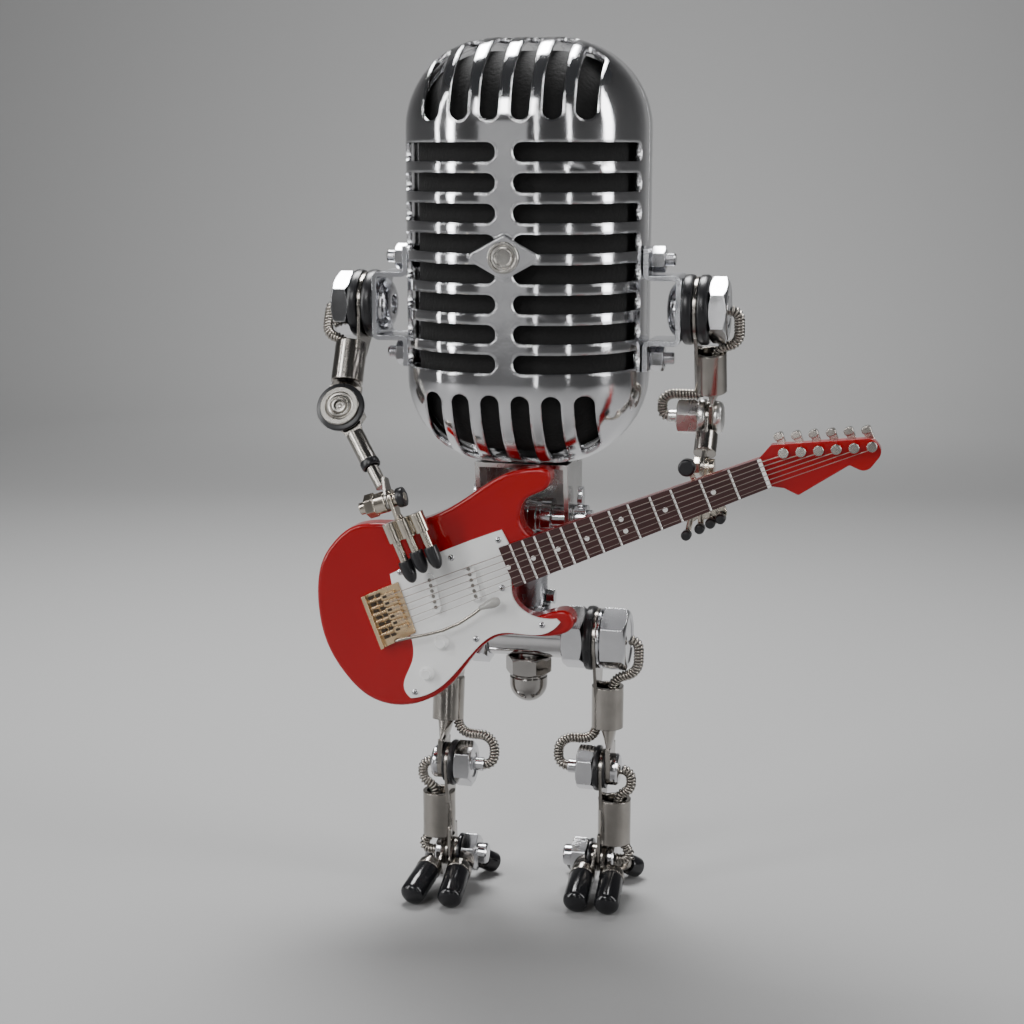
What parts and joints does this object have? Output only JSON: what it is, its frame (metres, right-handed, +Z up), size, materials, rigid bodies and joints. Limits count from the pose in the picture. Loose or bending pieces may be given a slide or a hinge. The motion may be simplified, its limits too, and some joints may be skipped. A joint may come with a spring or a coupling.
{
  "type": "robot desk lamp",
  "caption": "Standing robot desk lamp of bolts, tube lugs and hoses, with a slotted microphone-shaped lamp head and a toy electric guitar.",
  "frame": {"origin": "under the middle of the whole lamp, guitar included, on the surface it stands on", "axes": "+Z up, -Y the way the robot faces, +X towards the guitar's headstock"},
  "size_m": [0.1754, 0.0736, 0.27],
  "materials": {
    "head_silver": "satin silver metallic lacquer",
    "black_foam": "open-cell black foam",
    "badge_gold": "bright brass disc",
    "black_plastic": "matt black plastic",
    "bulb_glass": "opal bulb",
    "black_rubber": "matt black rubber",
    "zinc": "bright zinc plate",
    "guitar_red": "gloss red lacquer",
    "white_plastic": "gloss white plastic",
    "brass_trim": "gold-coloured plate",
    "rosewood": "dark rosewood",
    "chrome": "bright chrome plate",
    "dark_steel": "dark steel tube",
    "hose_steel": "close-wound steel spring sheath"
  },
  "bodies": {
    "pelvis": {"hip_tube": "chrome", "waist_bolt": "chrome", "hip_bolts": "chrome", "hip_washers": "black_rubber"},
    "torso": {"spine_tube": "dark_steel", "swivel_hub": "zinc", "tilt_bolt": "zinc", "torso_fasteners": "zinc"},
    "head": {"head_front_shell": "head_silver", "head_rear_shell": "head_silver", "grille_liner": "black_foam", "badge": "badge_gold", "bulb_holder": "black_plastic", "led_bulb": "bulb_glass", "cord_inlet": "black_rubber", "shoulder_brackets": "zinc", "bracket_screws": "zinc", "neck_yoke": "zinc", "shoulder_bolts": "zinc", "shoulder_washers": "black_rubber", "guitar_screws": "zinc", "guitar_body": "guitar_red", "guitar_pickguard": "white_plastic", "guitar_pickups": "white_plastic", "guitar_knobs": "white_plastic", "guitar_bridge": "brass_trim", "guitar_neck": "guitar_red", "guitar_fretboard": "rosewood", "guitar_tuners": "chrome"},
    "tremolo": {"tremolo_arm": "chrome"},
    "upper_arm_left": {"upper_arm_left": "zinc", "arm_hoses_left": "hose_steel", "elbow_bolt_left": "zinc"},
    "forearm_left": {"forearm_left": "zinc"},
    "hand_left": {"hand_left": "zinc", "finger_tips_left": "black_rubber"},
    "thigh_left": {"thigh_lug_left": "zinc", "thigh_hoses_left": "hose_steel", "knee_bolt_left": "zinc", "knee_washers_left": "black_rubber"},
    "shin_left": {"shin_lug_left": "zinc", "shin_hoses_left": "hose_steel", "ankle_bolt_left": "zinc"},
    "foot_left": {"foot_lugs_left": "zinc", "foot_rubbers_left": "black_rubber"},
    "upper_arm_right": {"upper_arm_right": "zinc", "arm_hoses_right": "hose_steel", "elbow_bolt_right": "zinc"},
    "forearm_right": {"forearm_right": "zinc"},
    "hand_right": {"hand_right": "zinc", "finger_tips_right": "black_rubber"},
    "thigh_right": {"thigh_lug_right": "zinc", "thigh_hoses_right": "hose_steel", "knee_bolt_right": "zinc", "knee_washers_right": "black_rubber"},
    "shin_right": {"shin_lug_right": "zinc", "shin_hoses_right": "hose_steel", "ankle_bolt_right": "zinc"},
    "foot_right": {"foot_lugs_right": "zinc", "foot_rubbers_right": "black_rubber"}
  },
  "joints": [
    {"name": "waist_turn", "type": "hinge", "parent": "pelvis", "child": "torso", "pos_m": [-0.02138, -0.0005, 0.09177], "axis": [0, 0, 1], "range_deg": [-8, 8]},
    {"name": "head_tilt", "type": "hinge", "parent": "torso", "child": "head", "pos_m": [-0.02138, -0.0005, 0.123], "axis": [1, 0, 0], "range_deg": [-20, 5]},
    {"name": "shoulder_left", "type": "hinge", "parent": "head", "child": "upper_arm_left", "pos_m": [-0.02138, -0.0005, 0.1895], "axis": [1, 0, 0], "range_deg": [-100, 0]},
    {"name": "elbow_left", "type": "hinge", "parent": "upper_arm_left", "child": "forearm_left", "pos_m": [-0.07738, -0.01611, 0.1575], "axis": [0, -0.8988, 0.4384], "range_deg": [-90, 2]},
    {"name": "wrist_left", "type": "hinge", "parent": "forearm_left", "child": "hand_left", "pos_m": [-0.05859, -0.02996, 0.13207], "axis": [-0.9511, 0, -0.309], "range_deg": [-2, 60]},
    {"name": "shoulder_right", "type": "hinge", "parent": "head", "child": "upper_arm_right", "pos_m": [-0.02138, -0.0005, 0.1895], "axis": [1, 0, 0], "range_deg": [0, 70]},
    {"name": "elbow_right", "type": "hinge", "parent": "upper_arm_right", "child": "forearm_right", "pos_m": [-0.02138, 0.00931, 0.15528], "axis": [1, 0, 0], "range_deg": [-0.6, 2.5]},
    {"name": "wrist_right", "type": "hinge", "parent": "forearm_right", "child": "hand_right", "pos_m": [-0.02138, -0.00226, 0.14149], "axis": [1, 0, 0], "range_deg": [-0.9, 4]},
    {"name": "tremolo_swing", "type": "hinge", "parent": "head", "child": "tremolo", "pos_m": [-0.05816, -0.0235, 0.08704], "axis": [0, -1, 0], "range_deg": [-50, 10]},
    {"name": "hip_left", "type": "hinge", "parent": "pelvis", "child": "thigh_left", "pos_m": [-0.02138, -0.0005, 0.08457], "axis": [1, 0, 0], "range_deg": [-12, 45]},
    {"name": "hip_right", "type": "hinge", "parent": "pelvis", "child": "thigh_right", "pos_m": [-0.02138, -0.0005, 0.08457], "axis": [1, 0, 0], "range_deg": [-60, 45]},
    {"name": "knee_left", "type": "hinge", "parent": "thigh_left", "child": "shin_left", "pos_m": [-0.02138, -0.0069, 0.04174], "axis": [1, 0, 0], "range_deg": [-20, 75]},
    {"name": "knee_right", "type": "hinge", "parent": "thigh_right", "child": "shin_right", "pos_m": [-0.02138, -0.0005, 0.04127], "axis": [1, 0, 0], "range_deg": [-20, 75]},
    {"name": "ankle_left", "type": "hinge", "parent": "shin_left", "child": "foot_left", "pos_m": [-0.02138, -0.0069, 0.01124], "axis": [1, 0, 0], "range_deg": [-25, 20]},
    {"name": "ankle_right", "type": "hinge", "parent": "shin_right", "child": "foot_right", "pos_m": [-0.02138, -0.0005, 0.01077], "axis": [1, 0, 0], "range_deg": [-25, 20]}
  ]
}
